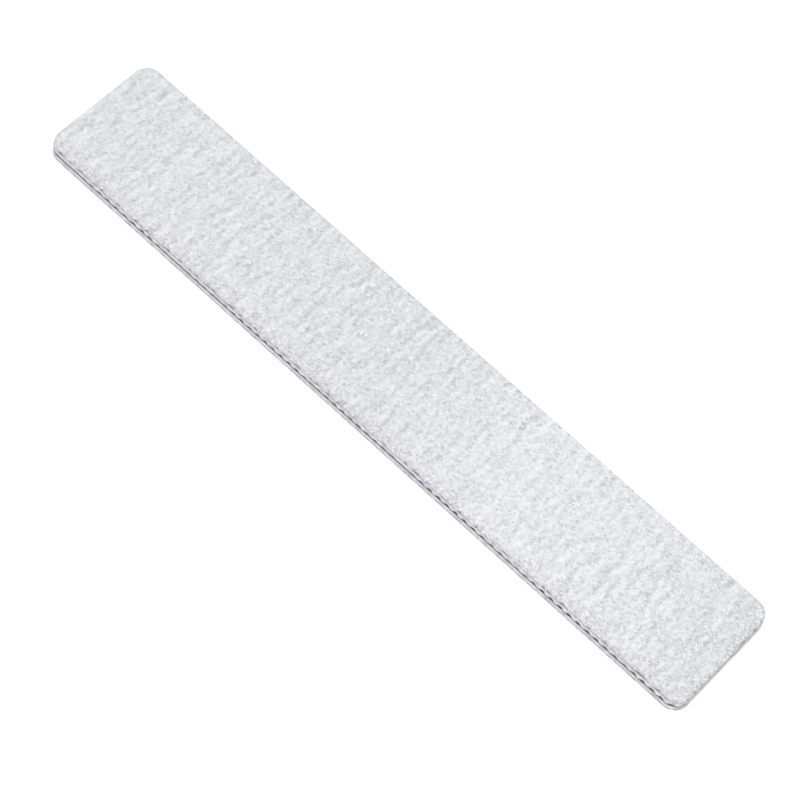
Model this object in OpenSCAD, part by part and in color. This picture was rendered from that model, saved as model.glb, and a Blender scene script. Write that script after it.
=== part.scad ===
// Padded emery board: a die-cut laminate of abrasive paper, foam and a stiff core.
// Lengths are in millimetres. +X runs along the board and +Z is up.
// The origin is the centre of the underside.

/* [Outline] */
// Length of the board from end to end
board_length = 178; // [120:1:220]
// Width of the board from side to side
board_width = 30; // [18:0.5:50]
// Radius of the four corners in plan
corner_radius = 3.5; // [1:0.1:8]

/* [Core] */
// Thickness of the stiff plastic strip in the middle
core_thickness = 0.5; // [0.3:0.05:2]

/* [Foam] */
// Thickness of each of the two foam pads
foam_thickness = 1.25; // [0.5:0.05:3]

/* [Abrasive paper] */
// Thickness of the backing paper of each face
paper_thickness = 0.25; // [0.1:0.01:0.6]
// Thickness of the coarse grit coat on the upper face
coarse_grit_thickness = 0.18; // [0.08:0.01:0.4]
// Thickness of the fine grit coat on the lower face
fine_grit_thickness = 0.12; // [0.06:0.01:0.3]

/* [Adhesive] */
// Thickness of each film between a backing paper and its foam
paper_film_thickness = 0.05; // [0.03:0.01:0.2]
// Thickness of each film between a foam pad and the core
core_film_thickness = 0.05; // [0.03:0.01:0.2]

/* [Hidden] */
// Every layer, from the underside up
NODES = [
    "bottom_grit",
    "bottom_paper",
    "bottom_paper_film",
    "bottom_foam",
    "bottom_core_film",
    "core",
    "top_core_film",
    "top_foam",
    "top_paper_film",
    "top_paper",
    "top_grit"
];

// Thickness of each layer, in the order of NODES
LAYERS = [
    fine_grit_thickness,
    paper_thickness,
    paper_film_thickness,
    foam_thickness,
    core_film_thickness,
    core_thickness,
    core_film_thickness,
    foam_thickness,
    paper_film_thickness,
    paper_thickness,
    coarse_grit_thickness
];

// Fragments of a full circle where a corner is drawn
corner_facets = 96;

GRIT_COLOUR = [0.87, 0.87, 0.89];
PAPER_COLOUR = [0.52, 0.51, 0.55];
FILM_COLOUR = [0.82, 0.78, 0.72];
FOAM_COLOUR = [0.88, 0.85, 0.90];
CORE_COLOUR = [0.24, 0.20, 0.25];

// How many layers lie under the named one
function level(name) = search([name], NODES)[0];

// Height of the underside of the layer at a level: all those under it, one on another
function height_at(n) = n == 0 ? 0 : height_at(n - 1) + LAYERS[n - 1];

// The plan of the board, the same for every layer because one die cuts them all
module outline() {
    square([board_length - 2 * corner_radius, board_width], center = true);
    square([board_length, board_width - 2 * corner_radius], center = true);
    for (side_x = [-1, 1], side_y = [-1, 1])
        translate([
            side_x * (board_length / 2 - corner_radius),
            side_y * (board_width / 2 - corner_radius)
        ])
            circle(r = corner_radius, $fn = corner_facets);
}

// One layer of the laminate, seated on the one below it
module layer(name) {
    translate([0, 0, height_at(level(name))])
        linear_extrude(height = LAYERS[level(name)])
            outline();
}

// Fine abrasive coat that the board lies on
module bottom_grit() {
    color(GRIT_COLOUR) layer("bottom_grit");
}

// Paper that carries the fine coat
module bottom_paper() {
    color(PAPER_COLOUR) layer("bottom_paper");
}

// Film that holds the lower paper to the lower foam
module bottom_paper_film() {
    color(FILM_COLOUR) layer("bottom_paper_film");
}

// Lower cushion
module bottom_foam() {
    color(FOAM_COLOUR) layer("bottom_foam");
}

// Film that holds the lower foam to the core
module bottom_core_film() {
    color(FILM_COLOUR) layer("bottom_core_film");
}

// Stiff strip that keeps the board straight
module core() {
    color(CORE_COLOUR) layer("core");
}

// Film that holds the upper foam to the core
module top_core_film() {
    color(FILM_COLOUR) layer("top_core_film");
}

// Upper cushion
module top_foam() {
    color(FOAM_COLOUR) layer("top_foam");
}

// Film that holds the upper paper to the upper foam
module top_paper_film() {
    color(FILM_COLOUR) layer("top_paper_film");
}

// Paper that carries the coarse coat
module top_paper() {
    color(PAPER_COLOUR) layer("top_paper");
}

// Coarse abrasive coat on the face that is used first
module top_grit() {
    color(GRIT_COLOUR) layer("top_grit");
}

bottom_grit();
bottom_paper();
bottom_paper_film();
bottom_foam();
bottom_core_film();
core();
top_core_film();
top_foam();
top_paper_film();
top_paper();
top_grit();
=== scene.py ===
"""Looks of a padded emery board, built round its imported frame. Lengths are in metres."""

import math
from collections import namedtuple

import bpy
import numpy as np
from mathutils import Matrix, Vector


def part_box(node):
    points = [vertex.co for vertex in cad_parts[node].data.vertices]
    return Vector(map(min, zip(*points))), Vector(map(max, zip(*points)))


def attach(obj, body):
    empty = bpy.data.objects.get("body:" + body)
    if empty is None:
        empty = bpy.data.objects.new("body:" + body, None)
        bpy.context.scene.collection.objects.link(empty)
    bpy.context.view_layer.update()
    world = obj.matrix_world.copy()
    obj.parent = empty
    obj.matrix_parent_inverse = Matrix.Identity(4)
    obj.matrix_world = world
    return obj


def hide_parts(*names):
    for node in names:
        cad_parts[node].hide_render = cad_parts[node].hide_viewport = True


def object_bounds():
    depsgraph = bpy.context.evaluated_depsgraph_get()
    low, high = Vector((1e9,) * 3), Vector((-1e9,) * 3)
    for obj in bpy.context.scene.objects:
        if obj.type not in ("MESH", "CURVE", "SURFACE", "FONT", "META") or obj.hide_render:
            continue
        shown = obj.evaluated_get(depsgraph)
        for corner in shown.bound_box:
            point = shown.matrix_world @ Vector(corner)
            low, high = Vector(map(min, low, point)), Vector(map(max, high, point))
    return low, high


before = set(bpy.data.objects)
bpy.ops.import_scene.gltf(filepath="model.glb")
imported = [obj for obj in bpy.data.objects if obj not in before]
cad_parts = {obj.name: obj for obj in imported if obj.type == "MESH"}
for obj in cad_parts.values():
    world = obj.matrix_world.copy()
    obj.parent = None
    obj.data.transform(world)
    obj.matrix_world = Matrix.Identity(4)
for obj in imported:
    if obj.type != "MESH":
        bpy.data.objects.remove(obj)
cad_low, cad_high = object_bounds()

MM = 0.001
NEGLIGIBLE = 0.001 * MM
HALF_LENGTH = cad_high.x
HALF_WIDTH = cad_high.y
BODY = "root"
SHARP_FOLD = math.radians(55)

# Abrasive coats: the spacing of their mesh, and of the random fields that shape it
COAT_STEP = 0.268 * MM
FIELD_STEP = 0.1 * MM
SPARE_CELLS = 40

# The waves of a coat, whose crests run across the board
RIPPLE_PITCH = 2.9 * MM
RIPPLE_SPREAD = 0.75
RIPPLE_FAN = math.radians(21)

# Sizes of a coat's other random features, from the widest to its grains
MOTTLE_SIZE = 9 * MM
PATCH_SIZE = 7 * MM
FLAKE_SIZE = 2.6 * MM
FLAKE_SPREAD = 0.35
CLUMP_SIZE = 0.88 * MM
FILLER_SIZE = 0.6 * MM
SPECK_SIZE = 0.36 * MM
COARSE_GRAIN = 0.2 * MM
FINE_GRAIN = 0.12 * MM

# A coat's tone, 0 dark to 1 light: its middle, its contrast, and what makes it up
TONE_MIDDLE = 0.5
TONE_CONTRAST = 0.14
TONE_SKEW = 0.05
WAVE_SHARE = 0.67
CLUMP_SHARE = 0.98
MOTTLE_SHARE = 0.15
# Painted shade on the crushed rims of the near side and the right end, weaker at the end, and the
# darker tone of chipped rims
CRUSHED_RIM_SHADE = 0.26
CRUSHED_RIM_SHADE_AT_ENDS = 0.14
FLAKED_TONE = 0.5

# Painted light along the board: a stretch where a coat is painted paler, as a broad highlight, and one
# where it is painted darker, as a dip in the light: their middles and reaches
PAINTED_HIGHLIGHT_PLACE = 48 * MM
PAINTED_HIGHLIGHT_REACH = 34 * MM
PAINTED_DIP_PLACE = -12 * MM
PAINTED_DIP_REACH = 30 * MM
PAINTED_DIP_SHARE = 0.48

# How clearly a coat's single grains show: everywhere, by patches, to the right end, and at the cut
CRISP_MIDDLE = 0.92
CRISP_LEAST = 0.2
CRISP_PATCHES = 0.38
CRISP_ALONG = 0.45
CRISP_CRUSHED = 2.0

# Chips at the rims of a coat: the level of the random field that starts them, and their share where
# the die didn't crush the rim
FLAKED_FROM = 0.5
FLAKED_ELSEWHERE = 0.2

# Rims of a coat: the reach of its rolled, moved and crushed strips, its least thickness, and its lip
ROLL_REACH = 0.45 * MM
RIM_REACH = 1.2 * MM
CRUSHED_REACH = 1.5 * MM
LEAST_SHARE = 0.2
RAGGED = 0.02 * MM
LIP = 0.2 * MM
CHIP_WITHOUT_LIP = 0.05 * MM
TUCKED_UNDER = 0.07 * MM

# Where the die crushed the rims, and the coat gets painted shade: full up to one distance inside the
# outline, gone at the other
CRUSHED_WITHIN = 1.5 * MM
UNCRUSHED_FROM = 3 * MM

# Cut edges of the layers under the coats: the spacing of points round them, and the foam's cells
EDGE_STEP = 0.2 * MM
FOAM_EDGE_STEP = 0.13 * MM
FOAM_CELL = 0.2 * MM

# Marks of the die's teeth: their pitch, their evenness, and how far the foam bulges between them
TOOTH_PITCH = 2.4 * MM
TOOTH_SPREAD = 0.06
TOOTH_SEED = 61
TOOTH_MIDDLE = 0.45
TOOTH_CONTRAST = 0.4
FAINTER_AT_ENDS = 0.6
BULGE = 0.13 * MM
BULGE_REACH = 0.3

# How far the cut leans out at both ends of the board, per unit of depth below its top
END_LEAN = 0.05

# Light: what the floor and the world give off, and where the floor starts and ends to glow more
WHITE = (1, 1, 1, 1)
FLOOR_COLOUR = (0.88, 0.88, 0.88, 1)
FLOOR_REACH = 3.0
FLOOR_GAP = 0.02 * MM
GLOW_NEAR, GLOW_FAR = 0.32, 0.56
GLOW_START, GLOW_END = 150 * MM, 800 * MM
WORLD_STRENGTH = 0.56

# The camera that took the photograph, solved from the board's edges and corners
VIEW_TARGET = Vector((4.11 * MM, -5.16 * MM, 4 * MM))
VIEW_DISTANCE = 586.1 * MM
VIEW_AZIMUTH = math.radians(26.46)
VIEW_ELEVATION = math.radians(61.62)
VIEW_ROLL = math.radians(18.12)
LENS = 128.2
SENSOR = 36

# A cut edge to be shaped: the share of the layer's height that lies below each row of points, how
# hard the teeth pressed at each point round, the steps up and along it, and its rows and columns
Cut = namedtuple("Cut", "share pressed steps size")

# The outer side of a coat: depths of its waves, its grains, its rolled rim and its chips, and how much
# its tone changes along the board by a painted highlight and a painted dip in the light
Relief = namedtuple("Relief", "waves grains rolled flake uneven")


def corner_radius(node):
    """The radius of the board's corners in plan, read from the end of a CAD layer."""
    points = np.array([v.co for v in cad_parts[node].data.vertices])
    on_end = points[:, 0] > points[:, 0].max() - NEGLIGIBLE
    return HALF_WIDTH - float(abs(points[on_end, 1]).max())


CORNER = corner_radius("core")


def span(node):
    """The heights of a CAD layer's underside and upper side."""
    low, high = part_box(node)
    return low.z, high.z


def srgb(red, green, blue):
    """A colour as it looks on screen, 0 to 255, as the linear colour that a shader takes."""
    share = np.array([red, green, blue]) / 255
    linear = np.where(share <= 0.04045, share / 12.92, ((share + 0.055) / 1.055) ** 2.4)
    return (*linear.tolist(), 1.0)


# Colours, each pair as the first turns to the second
COARSE_COLOURS = srgb(191, 192, 196), srgb(249, 250, 255)
FINE_COLOURS = srgb(193, 194, 198), srgb(248, 249, 254)
PAPER_COLOURS = srgb(66, 62, 72), srgb(126, 120, 132)
FILM_COLOURS = srgb(206, 199, 192), srgb(228, 222, 216)
FOAM_COLOURS = srgb(238, 234, 242), srgb(186, 180, 192)
SMEARED_COLOUR = srgb(120, 108, 127)
CORE_COLOURS = srgb(10, 7, 12), srgb(92, 81, 98)


# Noise


def shaped_noise(rng, shape, steps, keep):
    """Noise on a grid with the given steps, its spectrum shaped by keep, of mean 0 and deviation 1."""
    rows, columns = shape
    fy, fx = np.meshgrid(
        np.fft.fftfreq(rows, steps[0]), np.fft.fftfreq(columns, steps[1]), indexing="ij"
    )
    field = np.fft.ifft2(np.fft.fft2(rng.standard_normal(shape)) * keep(fx, fy)).real
    field -= field.mean()
    return field / field.std()


def blotches(size, spread=0.4):
    """A spectrum of round blotches about size apart."""

    def keep(fx, fy):
        turns = np.maximum(np.hypot(fx, fy) * size, 1e-6)
        return np.exp(-((np.log(turns) / spread) ** 2) / 2)

    return keep


def clumped(fx, fy):
    """An even spectrum that stops at clumps of grains of the least size."""
    return np.exp(-((np.hypot(fx, fy) * CLUMP_SIZE) ** 4) / 2)


def ripple(fx, fy):
    """A spectrum of short waves whose crests run across the board."""
    turns = np.hypot(fx, fy) * RIPPLE_PITCH
    lean = np.arctan2(abs(fy), abs(fx))
    uneven = ((turns - 1) / RIPPLE_SPREAD) ** 2 / 2
    return np.exp(-uneven - (lean / RIPPLE_FAN) ** 2 / 2) * (turns > 0)


def read_field(field, x, y):
    """The values of a field that covers the board, at points in plan, evenly blended."""
    rows, columns = field.shape
    column = (x / FIELD_STEP + columns / 2) % columns
    row = (y / FIELD_STEP + rows / 2) % rows
    left, low = np.floor(column).astype(int), np.floor(row).astype(int)
    across, up = column - left, row - low
    right, high = (left + 1) % columns, (low + 1) % rows
    near = field[low % rows, left % columns] * (1 - across) + field[low % rows, right] * across
    far = field[high, left % columns] * (1 - across) + field[high, right] * across
    return near * (1 - up) + far * up


# The outline in plan


def inset(x, y):
    """How far inside the board's outline points in plan lie."""
    past_x = abs(x) - (HALF_LENGTH - CORNER)
    past_y = abs(y) - (HALF_WIDTH - CORNER)
    past = np.hypot(np.maximum(past_x, 0), np.maximum(past_y, 0))
    return CORNER - past - np.minimum(np.maximum(past_x, past_y), 0)


def outline(step):
    """Points about a step apart round the board, counterclockwise, and their outward directions."""
    points, outward = [], []
    arc_count = max(6, round(CORNER * math.pi / 2 / step))
    straight = {0: 2 * (HALF_WIDTH - CORNER), 1: 2 * (HALF_LENGTH - CORNER)}
    for quarter in range(4):
        start = quarter * math.pi / 2
        centre = np.array([HALF_LENGTH - CORNER, HALF_WIDTH - CORNER])
        centre *= [1 if quarter in (0, 3) else -1, 1 if quarter < 2 else -1]
        angles = start + np.linspace(0, math.pi / 2, arc_count + 1)
        turned = np.stack([np.cos(angles), np.sin(angles)], 1)
        points.append(centre + CORNER * turned)
        outward.append(turned)
        side = straight[(quarter + 1) % 2]
        count = round(side / step)
        along = np.array([-math.sin(angles[-1]), math.cos(angles[-1])])
        shares = np.arange(1, count)[:, None] / count
        points.append(points[-1][-1] + along * side * shares)
        outward.append(np.repeat(turned[-1:], count - 1, axis=0))
    return np.concatenate(points), np.concatenate(outward)


def outward_at(x, y):
    """Outward directions at points near the outline."""
    inner_x, inner_y = HALF_LENGTH - CORNER, HALF_WIDTH - CORNER
    away = np.stack([x - np.clip(x, -inner_x, inner_x), y - np.clip(y, -inner_y, inner_y)], -1)
    return away / np.maximum(np.linalg.norm(away, axis=-1, keepdims=True), NEGLIGIBLE)


def leaning(outward, depth):
    """How far the cut lies outside the outline, at a depth below the top of the board."""
    return END_LEAN * outward[..., 0] ** 2 * depth


def crushed_and_shaded_rims(x, y):
    """1 along the near side and the right end, where the die crushed the rims and the coat gets
    painted shade, and 0 elsewhere.
    """
    past = np.maximum(-y - HALF_WIDTH, x - HALF_LENGTH) + UNCRUSHED_FROM
    return np.clip(past / (UNCRUSHED_FROM - CRUSHED_WITHIN), 0, 1)


def pressed_by_teeth(plan, outward):
    """How hard the die's teeth pressed the middle of the cut, 0 to 1, at points round the board."""
    gaps = np.linalg.norm(np.roll(plan, -1, axis=0) - plan, axis=1)
    along = np.cumsum(gaps) - gaps
    count = round(gaps.sum() / FIELD_STEP)
    rng = np.random.default_rng(TOOTH_SEED)
    steps = (FIELD_STEP, FIELD_STEP)
    marks = shaped_noise(rng, (1, count), steps, blotches(TOOTH_PITCH, TOOTH_SPREAD))[0]
    round_trip = count * FIELD_STEP
    marks = np.interp(along, np.arange(count) * FIELD_STEP, marks, period=round_trip)
    pressed = np.clip(TOOTH_MIDDLE + TOOTH_CONTRAST * marks, 0, 1)
    return pressed * (1 - FAINTER_AT_ENDS * outward[:, 0] ** 2)


# Meshes


def make_object(name, points, faces, material, nodes):
    """A smooth-shaded piece that stands for CAD nodes and rides on the board."""
    mesh = bpy.data.meshes.new(name)
    mesh.from_pydata(points.tolist(), [], faces)
    mesh.validate()
    mesh.shade_smooth()
    mesh.set_sharp_from_angle(angle=SHARP_FOLD)
    mesh.materials.append(material)
    piece = bpy.data.objects.new(name, mesh)
    bpy.context.scene.collection.objects.link(piece)
    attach(piece, BODY)
    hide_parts(*nodes)
    return piece


def set_values(piece, label, values):
    """Gives each point of a piece a number that its material reads by its label."""
    attribute = piece.data.attributes.new(label, "FLOAT", "POINT")
    attribute.data.foreach_set("value", values.astype(np.float32))


def strip(upper, lower):
    """Faces between two closed loops of points, facing out where the loops run counterclockwise."""
    after_upper, after_lower = np.roll(upper, -1), np.roll(lower, -1)
    return np.stack([upper, lower, after_lower, after_upper], 1).tolist()


def make_layer(name, node, step, rows, shape_edge, material):
    """One layer under the coats: flat sides as in the CAD, and a cut edge that shape_edge moves."""
    low, high = span(node)
    plan, outward = outline(step)
    heights = np.linspace(high, low, rows)[:, None]
    cut = Cut(
        share=np.linspace(1, 0, rows)[:, None],
        pressed=pressed_by_teeth(plan, outward),
        steps=((high - low) / (rows - 1), step),
        size=(rows, len(plan)),
    )
    offset = shape_edge(cut) + leaning(outward, cad_high.z - heights)
    xy = plan[None] + outward[None] * offset[..., None]
    z = np.repeat(heights, len(plan), axis=1)
    points = np.concatenate([xy, z[..., None]], axis=2).reshape(-1, 3)
    loops = np.arange(rows * len(plan)).reshape(rows, len(plan))
    faces = [loops[0].tolist(), loops[-1][::-1].tolist()]
    for upper, lower in zip(loops[:-1], loops[1:]):
        faces += strip(upper, lower)
    piece = make_object(name, points, faces, material, [node])
    set_values(piece, "pressed", np.tile(cut.pressed, rows))
    return piece


def coat_grid():
    """Plan positions of a coat's mesh, by row and column: columns follow the corners at both ends."""
    arc_count = round(CORNER * math.pi / 2 / COAT_STEP)
    angles = np.linspace(0, math.pi / 2, arc_count + 1)[:-1]
    end_x = HALF_LENGTH - CORNER * (1 - np.cos(angles))
    end_width = HALF_WIDTH - CORNER * (1 - np.sin(angles))
    inner = HALF_LENGTH - CORNER
    inner_x = np.linspace(-inner, inner, round(2 * inner / COAT_STEP) + 1)
    x = np.concatenate([-end_x, inner_x, end_x[::-1]])
    width = np.concatenate([end_width, np.full(len(inner_x), HALF_WIDTH), end_width[::-1]])
    across = np.linspace(-1, 1, round(2 * HALF_WIDTH / COAT_STEP) + 1)
    return np.broadcast_to(x, (len(across), len(x))), across[:, None] * width


def rim(numbers):
    """The outer numbers of a grid, counterclockwise."""
    return np.concatenate(
        [numbers[0], numbers[1:, -1], numbers[-1, -2::-1], numbers[-2:0:-1, 0]]
    )


def coat_fields(seed):
    """Random fields that cover a coat. They are drawn in this order, so another order changes them."""
    rng = np.random.default_rng(seed)
    cells = tuple(round(2 * half / FIELD_STEP) + SPARE_CELLS for half in (HALF_WIDTH, HALF_LENGTH))
    spectra = {
        "waves": ripple,
        "clumps": clumped,
        "mottle": blotches(MOTTLE_SIZE),
        "flakes": blotches(FLAKE_SIZE, FLAKE_SPREAD),
        "patches": blotches(PATCH_SIZE),
    }
    steps = (FIELD_STEP, FIELD_STEP)
    return {kind: shaped_noise(rng, cells, steps, keep) for kind, keep in spectra.items()}


def coat_tone(fields, x, y, outward, near_rim, flaked, uneven):
    """How light a coat is, 0 to 1: light on crests and clumps, dark at crushed and chipped rims.
    The crushed rims of the near side and the right end get painted shade, and a painted highlight
    and a painted dip lie along the board.
    """
    shade = WAVE_SHARE * read_field(fields["waves"], x, y)
    shade = shade + CLUMP_SHARE * read_field(fields["clumps"], x, y)
    shade = shade + MOTTLE_SHARE * read_field(fields["mottle"], x, y)
    shade -= TONE_SKEW * (shade**2 - 1)
    # Painted light along the board: a broad painted highlight towards the right end and a painted dip
    # just left of the middle
    pale = np.exp(-(((x - PAINTED_HIGHLIGHT_PLACE) / PAINTED_HIGHLIGHT_REACH) ** 4))
    dark = np.exp(-(((x - PAINTED_DIP_PLACE) / PAINTED_DIP_REACH) ** 2))
    painted_highlight_and_dip = uneven * (pale - PAINTED_DIP_SHARE * dark)
    # Painted shade at the crushed rims of the near side and the right end, with the darker tone of
    # chipped rims
    crushed = CRUSHED_RIM_SHADE + (CRUSHED_RIM_SHADE_AT_ENDS - CRUSHED_RIM_SHADE) * outward[..., 0] ** 2
    darker = near_rim * (crushed * crushed_and_shaded_rims(x, y) + FLAKED_TONE * flaked)
    return np.clip(TONE_MIDDLE + TONE_CONTRAST * shade + painted_highlight_and_dip - darker, 0, 1)


def coat_crispness(fields, x, y, depth_in, crushed):
    """How clearly a coat's single grains show."""
    by_patch = CRISP_PATCHES * read_field(fields["patches"], x, y)
    along = CRISP_ALONG * x / HALF_LENGTH
    by_cut = CRISP_CRUSHED * np.exp(-depth_in / CRUSHED_REACH) * crushed
    return np.maximum(CRISP_MIDDLE + by_patch + along + by_cut, CRISP_LEAST)


def make_coat(name, node, paper, seed, relief, material):
    """An abrasive coat: waves and clumps on its outer side, and a ragged lip over the paper's edge."""
    low, high = span(node)
    facing = 1 if low > span(paper)[0] else -1
    base = low if facing > 0 else high
    fields = coat_fields(seed)
    x, y = coat_grid()
    depth_in = inset(x, y)
    near_rim = np.exp(-((depth_in / ROLL_REACH) ** 2))
    height = relief.waves * read_field(fields["waves"], x, y)
    height = height + relief.grains * read_field(fields["clumps"], x, y) - relief.rolled * near_rim
    height = (high - low) + height - height.max()
    height = np.maximum(height, LEAST_SHARE * (high - low)).ravel()

    outward = outward_at(x, y)
    rim_x, rim_y = x + outward[..., 0] * depth_in, y + outward[..., 1] * depth_in
    crushed = crushed_and_shaded_rims(rim_x, rim_y)
    flaked = np.clip(read_field(fields["flakes"], rim_x, rim_y) - FLAKED_FROM, 0, 1)
    flaked = flaked * (FLAKED_ELSEWHERE + (1 - FLAKED_ELSEWHERE) * crushed)
    tone = coat_tone(fields, x, y, outward, near_rim, flaked, relief.uneven)
    crisp = coat_crispness(fields, x, y, depth_in, crushed)
    by_rim = np.maximum(1 - depth_in / RIM_REACH, 0) ** 2
    drawn_in = relief.flake * flaked * by_rim
    moved = leaning(outward, cad_high.z - base) * by_rim - drawn_in
    xy = (np.stack([x, y], -1) + outward * moved[..., None]).reshape(-1, 2)

    numbers = np.arange(x.size).reshape(x.shape)
    edge = rim(numbers)
    edge_x, edge_y = x.ravel()[edge], y.ravel()[edge]
    outward = outward.reshape(-1, 2)[edge]
    ragged = RAGGED * read_field(fields["clumps"], edge_x, edge_y)
    xy[edge] += outward * ragged[:, None]
    drop = LIP * np.clip(0.5 + 0.5 * read_field(fields["waves"], edge_x, edge_y), 0, 1)
    drop *= np.maximum(1 - drawn_in.ravel()[edge] / CHIP_WITHOUT_LIP, 0)
    # Offset and height of each ring of points down the side: a slight bulge, the lip, and under it
    rings = (
        (0.008 * MM, height[edge] * 0.8),
        (0.010 * MM, height[edge] * 0.4),
        (0, -drop),
        (-TUCKED_UNDER - ragged, np.zeros(len(edge))),
    )
    loops, points = [edge], [np.column_stack([xy, height])]
    for offset, ring_height in rings:
        ring_xy = xy[edge] + outward * np.broadcast_to(offset, len(edge))[:, None]
        loops.append(np.arange(len(edge)) + sum(len(p) for p in points))
        points.append(np.column_stack([ring_xy, ring_height]))
    points = np.concatenate(points)
    points[:, 2] = base + facing * points[:, 2]

    faces = np.stack(
        [numbers[:-1, :-1], numbers[:-1, 1:], numbers[1:, 1:], numbers[1:, :-1]], -1
    )
    faces = faces.reshape(-1, 4).tolist()
    for upper, lower in zip(loops[:-1], loops[1:]):
        faces += strip(upper, lower)
    faces.append(loops[-1][::-1].tolist())
    if facing < 0:
        faces = [face[::-1] for face in faces]
    piece = make_object(name, points, faces, material, [node])
    for label, values in (("tone", tone.ravel()), ("crisp", crisp.ravel())):
        set_values(piece, label, np.concatenate([values, np.tile(values[edge], len(rings))]))


# Shader nodes


def feed(tree, socket, value):
    """Sets a socket, or links another socket to it."""
    if isinstance(value, bpy.types.NodeSocket):
        tree.links.new(value, socket)
    else:
        socket.default_value = value


def add(tree, kind, settings=None, **inputs):
    """Adds a shader node. Each input is a value, or the socket that feeds it."""
    made = tree.nodes.new("ShaderNode" + kind)
    for name, value in (settings or {}).items():
        setattr(made, name, value)
    for name, value in inputs.items():
        feed(tree, made.inputs[name.replace("_", " ")], value)
    return made


def add_in_order(tree, kind, settings, values):
    """Adds a shader node whose inputs are fed in order, because several of them share a name."""
    made = add(tree, kind, settings)
    for socket, value in zip(made.inputs, values):
        feed(tree, socket, value)
    return made


def calculate(tree, operation, *values):
    """The result of a Math node."""
    return add_in_order(tree, "Math", {"operation": operation}, values).outputs["Value"]


def remap(tree, value, low, high, to_low, to_high, shape="LINEAR"):
    """value, moved from the range low..high to the range to_low..to_high and kept in it."""
    made = add(
        tree,
        "MapRange",
        {"interpolation_type": shape},
        Value=value,
        From_Min=low,
        From_Max=high,
        To_Min=to_low,
        To_Max=to_high,
    )
    return made.outputs["Result"]


def blend_colours(tree, share, first, second):
    """The first colour turning to the second as share goes from 0 to 1."""
    made = add(tree, "Mix", {"data_type": "RGBA"})
    sockets = {s.identifier: s for s in made.inputs}
    feed(tree, sockets["Factor_Float"], share)
    feed(tree, sockets["A_Color"], first)
    feed(tree, sockets["B_Color"], second)
    return next(s for s in made.outputs if s.identifier == "Result_Color")


def new_material(name):
    """A material with one Principled shader, and the object coordinates that its patterns use."""
    material = bpy.data.materials.new(name)
    material.use_nodes = True
    tree = material.node_tree
    tree.nodes.clear()
    shader = add(tree, "BsdfPrincipled")
    add(tree, "OutputMaterial", Surface=shader.outputs["BSDF"])
    place = add(tree, "TexCoord").outputs["Object"]
    return material, tree, shader, place


def point_value(tree, label):
    """The number that each point of the mesh carries under a label."""
    return add(tree, "Attribute", {"attribute_name": label}).outputs["Fac"]


def set_look(tree, shader, colour, roughness):
    """Feeds the shader's colour and roughness."""
    feed(tree, shader.inputs["Base Color"], colour)
    feed(tree, shader.inputs["Roughness"], roughness)


def emboss(tree, shader, height, strength, depth):
    """Gives the shader fine relief that the mesh is too coarse for."""
    bump = add(tree, "Bump", Height=height, Strength=strength, Distance=depth)
    feed(tree, shader.inputs["Normal"], bump.outputs["Normal"])


def per_length(size):
    """The scale of a texture whose features are about size across."""
    return 1 / size


def stretched_upright(tree, place, scale):
    """Coordinates scaled along the board's height: under 1 patterns stand taller, over 1 lower."""
    made = add(tree, "Mapping", {"vector_type": "POINT"}, Vector=place, Scale=(1.0, 1.0, scale))
    return made.outputs["Vector"]


def noise(tree, place, size, detail=2.0, roughness=0.5):
    """Smooth noise with features about size across."""
    made = add(
        tree,
        "TexNoise",
        Vector=place,
        Scale=per_length(size),
        Detail=detail,
        Roughness=roughness,
    )
    return made.outputs["Fac"]


def swayed(tree, place, size, reach):
    """Coordinates moved about by smooth noise of the given size, by at most reach."""
    shift = add(tree, "TexNoise", Vector=place, Scale=per_length(size), Detail=1.0)
    values = (shift.outputs["Color"], [reach] * 3, place)
    made = add_in_order(tree, "VectorMath", {"operation": "MULTIPLY_ADD"}, values)
    return made.outputs["Vector"]


def grains_of(tree, place, size):
    """Separate grains: a random number for each, and the distance from its middle in grain sizes."""
    uneven = swayed(tree, place, 1.5 * size, 0.7 * size)
    cells = add(tree, "TexVoronoi", Vector=uneven, Scale=per_length(size))
    number = add(tree, "SeparateColor", Color=cells.outputs["Color"]).outputs["Red"]
    return number, cells.outputs["Distance"]


# Materials


def coat_material(name, grain_size, colours):
    """Light filler on crests, darker in troughs, with grains and a few odd specks over both. The gaps
    between grains get painted shade, and the bright specks are painted glints.
    """
    material, tree, shader, place = new_material(name)
    grain, off_centre = grains_of(tree, place, grain_size)
    filler = noise(tree, place, FILLER_SIZE, 2.0, 0.7)
    # Rare specks far from the middle tone: dark grains, and bright ones that are painted glints
    number, off_middle = grains_of(tree, place, SPECK_SIZE)
    odd = calculate(tree, "POWER", remap(tree, number, 0.0, 1.0, -0.97, 1.03), 9.0)
    speck = calculate(tree, "MULTIPLY", odd, remap(tree, off_middle, 0.2, 0.65, 1.7, 0.0))
    busy = calculate(tree, "MULTIPLY_ADD", grain, 0.24, speck)
    busy = calculate(tree, "MULTIPLY_ADD", filler, 0.6, busy)
    # Darker towards each grain's edge: painted shade in the crevices between grains
    busy = calculate(tree, "SUBTRACT", busy, remap(tree, off_centre, 0.4, 0.9, 0.44, 0.64))
    crisp, tone = point_value(tree, "crisp"), point_value(tree, "tone")
    share = remap(tree, calculate(tree, "MULTIPLY_ADD", busy, crisp, tone), -0.2, 0.9, 0.0, 1.0)
    glint = remap(tree, grain, 0.85, 1.0, 0.75, 0.3)
    set_look(tree, shader, blend_colours(tree, share, *colours), glint)
    proud = calculate(tree, "MULTIPLY_ADD", grain, 0.9, 0.3)
    dome = remap(tree, off_centre, 0.15, 0.75, 1.0, 0.0)
    rough = noise(tree, place, 0.5 * grain_size, 2.0, 0.7)
    rise = calculate(tree, "MULTIPLY_ADD", dome, proud, rough)
    emboss(tree, shader, rise, 1.0, 0.35 * grain_size)
    return material


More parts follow.
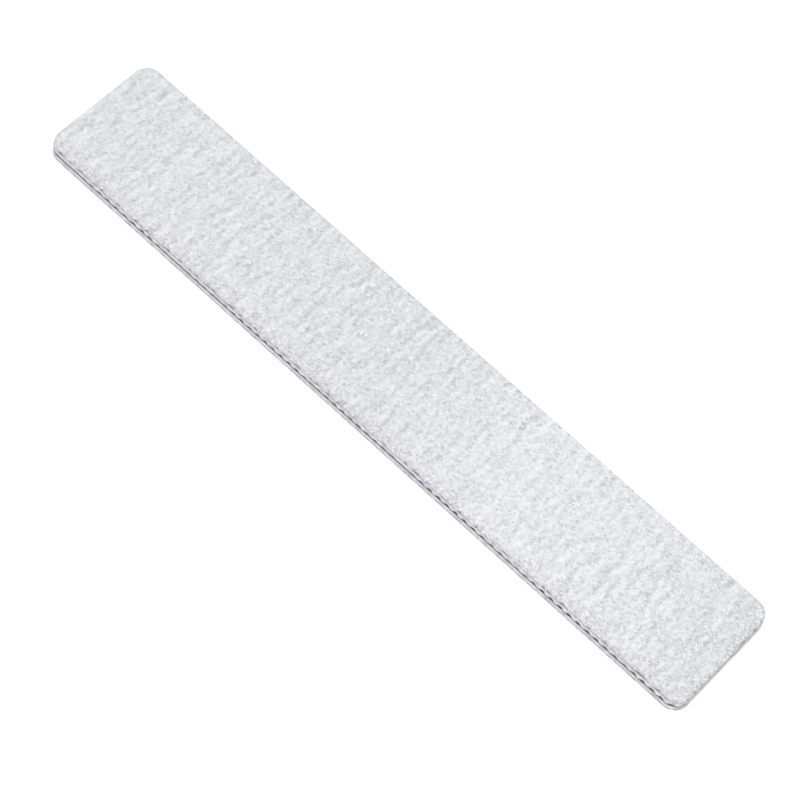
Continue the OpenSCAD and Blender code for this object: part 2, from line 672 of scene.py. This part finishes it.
def paper_material():
    """Grey latex-filled paper, with fibres that lie along the sheet at its cut edge."""
    material, tree, shader, place = new_material("backing_paper")
    fibres = noise(tree, stretched_upright(tree, place, 6.0), 0.18 * MM, 3.0, 0.65)
    share = remap(tree, fibres, 0.3, 0.7, 0.0, 1.0)
    set_look(tree, shader, blend_colours(tree, share, *PAPER_COLOURS), 0.85)
    emboss(tree, shader, fibres, 0.6, 0.03 * MM)
    return material


def film_material():
    """Thin acrylic adhesive, slightly yellow and glossy where it shows at the edge."""
    material, tree, shader, place = new_material("adhesive_film")
    beads = noise(tree, place, 0.5 * MM)
    colour = blend_colours(tree, beads, *FILM_COLOURS)
    set_look(tree, shader, colour, remap(tree, beads, 0.3, 0.7, 0.25, 0.55))
    return material


def foam_material():
    """Pale lavender foam: cut cells are hollows with painted shade in them, and plastic of the core is
    smeared beside it.
    """
    material, tree, shader, place = new_material("foam")
    cell, _ = grains_of(tree, place, FOAM_CELL)
    settings = {"feature": "DISTANCE_TO_EDGE"}
    cells = add(tree, "TexVoronoi", settings, Vector=place, Scale=per_length(FOAM_CELL))
    # Cell middles lie deeper in the bump and are darker in colour: painted shade in the hollows of the
    # cut cells
    hollow = remap(tree, cells.outputs["Distance"], 0.0, 0.4, 0.0, 1.0, "SMOOTHSTEP")
    depth = calculate(tree, "MULTIPLY", hollow, remap(tree, cell, 0.0, 1.0, 0.2, 1.0))
    cloud = remap(tree, noise(tree, place, 1.1 * MM, 2.0, 0.6), 0.3, 0.7, -0.3, 0.7)
    share = calculate(tree, "MULTIPLY_ADD", depth, 0.6, cloud)
    colour = blend_colours(tree, share, *FOAM_COLOURS)
    height = add(tree, "SeparateXYZ", Vector=place).outputs["Z"]
    above_core = calculate(tree, "SUBTRACT", height, sum(span("core")) / 2)
    beside = remap(tree, calculate(tree, "ABSOLUTE", above_core), 0.3 * MM, 0.7 * MM, 0.5, 0.0)
    smeared = calculate(tree, "MULTIPLY", beside, point_value(tree, "pressed"))
    set_look(tree, shader, blend_colours(tree, smeared, colour, SMEARED_COLOUR), 0.8)
    emboss(tree, shader, calculate(tree, "SUBTRACT", 1.0, depth), 1.0, 0.06 * MM)
    return material


def core_material():
    """Dark plum plastic with upright marks, nearly black where the teeth pressed it."""
    material, tree, shader, place = new_material("core_plastic")
    marks = noise(tree, stretched_upright(tree, place, 0.1), 0.25 * MM, 2.0, 0.6)
    share = calculate(tree, "MULTIPLY_ADD", marks, 0.6, 0.55)
    share = calculate(tree, "SUBTRACT", share, point_value(tree, "pressed"))
    colour = blend_colours(tree, share, *CORE_COLOURS)
    set_look(tree, shader, colour, remap(tree, marks, 0.3, 0.7, 0.35, 0.6))
    shader.inputs["Specular IOR Level"].default_value = 0.3
    emboss(tree, shader, marks, 0.5, 0.03 * MM)
    return material


# Cut edges of the layers


def foam_edge(seed, core_side):
    """Foam drawn in between its bonded faces, with cut cells. It bulges at the core between teeth."""

    def shape(cut):
        rng = np.random.default_rng(seed)
        cells = shaped_noise(rng, cut.size, cut.steps, blotches(0.35 * MM))
        tears = shaped_noise(rng, cut.size, cut.steps, blotches(1.2 * MM))
        sway = shaped_noise(rng, cut.size, cut.steps, blotches(5 * MM))
        free = np.minimum(1, 8 * cut.share * (1 - cut.share))
        waist = 0.07 * MM * (1 - (2 * cut.share - 1) ** 2)
        pits = 0.035 * MM * np.maximum(cells - 0.2, 0) + 0.06 * MM * np.maximum(tears - 0.4, 0)
        from_core = cut.share if core_side == "bottom" else 1 - cut.share
        bulge = BULGE * (1 - 2 * cut.pressed) * np.exp(-((from_core / BULGE_REACH) ** 2))
        return bulge + 0.01 * MM * sway - free * (waist + pits)

    return shape


def paper_edge(seed, coated_side):
    """Paper a little behind the coat's lip on its coated side, with a fibrous cut."""

    def shape(cut):
        rng = np.random.default_rng(seed)
        fibres = shaped_noise(rng, cut.size, cut.steps, blotches(0.5 * MM, 0.6))
        coated = cut.share if coated_side == "top" else 1 - cut.share
        return -0.02 * MM - 0.05 * MM * coated**2 + 0.012 * MM * fibres * (1 - coated)

    return shape


def film_edge(seed, bulge):
    """Adhesive slightly behind the layers it joins, with small beads. It bulges with the foam."""

    def shape(cut):
        rng = np.random.default_rng(seed)
        beads = shaped_noise(rng, (1, cut.size[1]), cut.steps, blotches(0.8 * MM, 0.6))
        return bulge * (1 - 2 * cut.pressed) - 0.02 * MM + 0.012 * MM * beads

    return shape


def core_edge(seed):
    """Sheared plastic: upright marks, and both corners broken by the die."""

    def shape(cut):
        rng = np.random.default_rng(seed)
        marks = shaped_noise(rng, (1, cut.size[1]), cut.steps, blotches(0.6 * MM, 0.6))
        broken = 0.03 * MM * np.maximum(abs(2 * cut.share - 1) - 0.7, 0) / 0.3
        return 0.004 * MM * marks - broken

    return shape


# The board

coarse = coat_material("coarse_coat", COARSE_GRAIN, COARSE_COLOURS)
fine = coat_material("fine_coat", FINE_GRAIN, FINE_COLOURS)
paper = paper_material()
film = film_material()
foam = foam_material()
plastic = core_material()

# uneven is the strength of the painted highlight and painted dip along the board; the fine coat has
# none
coarse_relief = Relief(
    waves=0.018 * MM, grains=0.01 * MM, rolled=0.04 * MM, flake=0.16 * MM, uneven=0.11
)
fine_relief = Relief(
    waves=0.012 * MM, grains=0.006 * MM, rolled=0.02 * MM, flake=0.12 * MM, uneven=0.0
)
make_coat("coarse_coat", "top_grit", "top_paper", 11, coarse_relief, coarse)
make_coat("fine_coat", "bottom_grit", "bottom_paper", 12, fine_relief, fine)
for name, node, coated_side, seed in (
    ("upper_backing_paper", "top_paper", "top", 21),
    ("lower_backing_paper", "bottom_paper", "bottom", 22),
):
    make_layer(name, node, EDGE_STEP, 5, paper_edge(seed, coated_side), paper)
for name, node, bulge, seed in (
    ("upper_paper_film", "top_paper_film", 0, 31),
    ("upper_core_film", "top_core_film", BULGE, 32),
    ("lower_core_film", "bottom_core_film", BULGE, 33),
    ("lower_paper_film", "bottom_paper_film", 0, 34),
):
    make_layer(name, node, EDGE_STEP, 2, film_edge(seed, bulge), film)
for name, node, core_side, seed in (
    ("upper_foam", "top_foam", "bottom", 41),
    ("lower_foam", "bottom_foam", "top", 42),
):
    pad = make_layer(name, node, FOAM_EDGE_STEP, 11, foam_edge(seed, core_side), foam)
make_layer("core_strip", "core", EDGE_STEP, 9, core_edge(51), plastic)


# Stage, light and camera


def show_as(tree, lit, seen, output):
    """Lights the board with one shader, and shows another to the camera and in reflections."""
    path = add(tree, "LightPath")
    either = calculate(
        tree, "MAXIMUM", path.outputs["Is Camera Ray"], path.outputs["Is Glossy Ray"]
    )
    directly = calculate(tree, "MAXIMUM", either, path.outputs["Is Transmission Ray"])
    mix = add_in_order(tree, "MixShader", None, (directly, lit, seen))
    add(tree, output, Surface=mix.outputs["Shader"])


def make_floor():
    """A pale floor that shows as white, also far from the lamps, and keeps the board's shadow."""
    material = bpy.data.materials.new("floor")
    material.use_nodes = True
    tree = material.node_tree
    tree.nodes.clear()
    plain = add(tree, "BsdfDiffuse", Color=FLOOR_COLOUR).outputs["BSDF"]
    place = add(tree, "TexCoord").outputs["Object"]
    length = add_in_order(tree, "VectorMath", {"operation": "LENGTH"}, (place,))
    distance = length.outputs["Value"]
    strength = remap(tree, distance, GLOW_START, GLOW_END, GLOW_NEAR, GLOW_FAR, "SMOOTHSTEP")
    glow = add(tree, "Emission", Color=WHITE, Strength=strength).outputs["Emission"]
    both = add_in_order(tree, "AddShader", None, (plain, glow))
    show_as(tree, plain, both.outputs["Shader"], "OutputMaterial")
    mesh = bpy.data.meshes.new("floor")
    turns = ((-1, -1), (1, -1), (1, 1), (-1, 1))
    corners = [(x * FLOOR_REACH, y * FLOOR_REACH, cad_low.z - FLOOR_GAP) for x, y in turns]
    mesh.from_pydata(corners, [], [(0, 1, 2, 3)])
    mesh.materials.append(material)
    floor = bpy.data.objects.new("floor", mesh)
    bpy.context.scene.collection.objects.link(floor)


def make_world():
    """Even light from all round, seen as white."""
    world = bpy.data.worlds.new("studio")
    bpy.context.scene.world = world
    world.use_nodes = True
    tree = world.node_tree
    tree.nodes.clear()
    lit, seen = (
        add(tree, "Background", Color=WHITE, Strength=strength).outputs["Background"]
        for strength in (WORLD_STRENGTH, 1.0)
    )
    show_as(tree, lit, seen, "OutputWorld")


def make_lamp(name, size, power, place):
    """A soft square lamp that faces the middle of the board."""
    lamp = bpy.data.lights.new(name, "AREA")
    lamp.shape = "SQUARE"
    lamp.size = size
    lamp.energy = power
    holder = bpy.data.objects.new(name, lamp)
    bpy.context.scene.collection.objects.link(holder)
    holder.location = place
    holder.rotation_euler = Vector(place).to_track_quat("Z", "Y").to_euler()


def direction(azimuth, elevation):
    """The unit direction towards the camera: azimuth 0 is on the near side, -Y."""
    level = math.cos(elevation)
    return Vector(
        (math.sin(azimuth) * level, -math.cos(azimuth) * level, math.sin(elevation))
    )


def make_camera():
    """The photograph's view of the board."""
    camera = bpy.data.cameras.new("camera")
    camera.lens = LENS
    camera.sensor_width = SENSOR
    camera.clip_start = 10 * MM
    camera.clip_end = 20
    holder = bpy.data.objects.new("camera", camera)
    bpy.context.scene.collection.objects.link(holder)
    away = direction(VIEW_AZIMUTH, VIEW_ELEVATION)
    upright = away.to_track_quat("Z", "Y").to_matrix().to_4x4()
    rolled = upright @ Matrix.Rotation(VIEW_ROLL, 4, "Z")
    holder.matrix_world = Matrix.Translation(VIEW_TARGET + away * VIEW_DISTANCE) @ rolled
    bpy.context.scene.camera = holder


make_floor()
make_world()
make_lamp("key", 0.3, 0.9, (20 * MM, -40 * MM, 430 * MM))
make_lamp("fill", 0.5, 1.9, (250 * MM, -780 * MM, 400 * MM))
make_camera()
bpy.context.scene.view_settings.view_transform = "Standard"
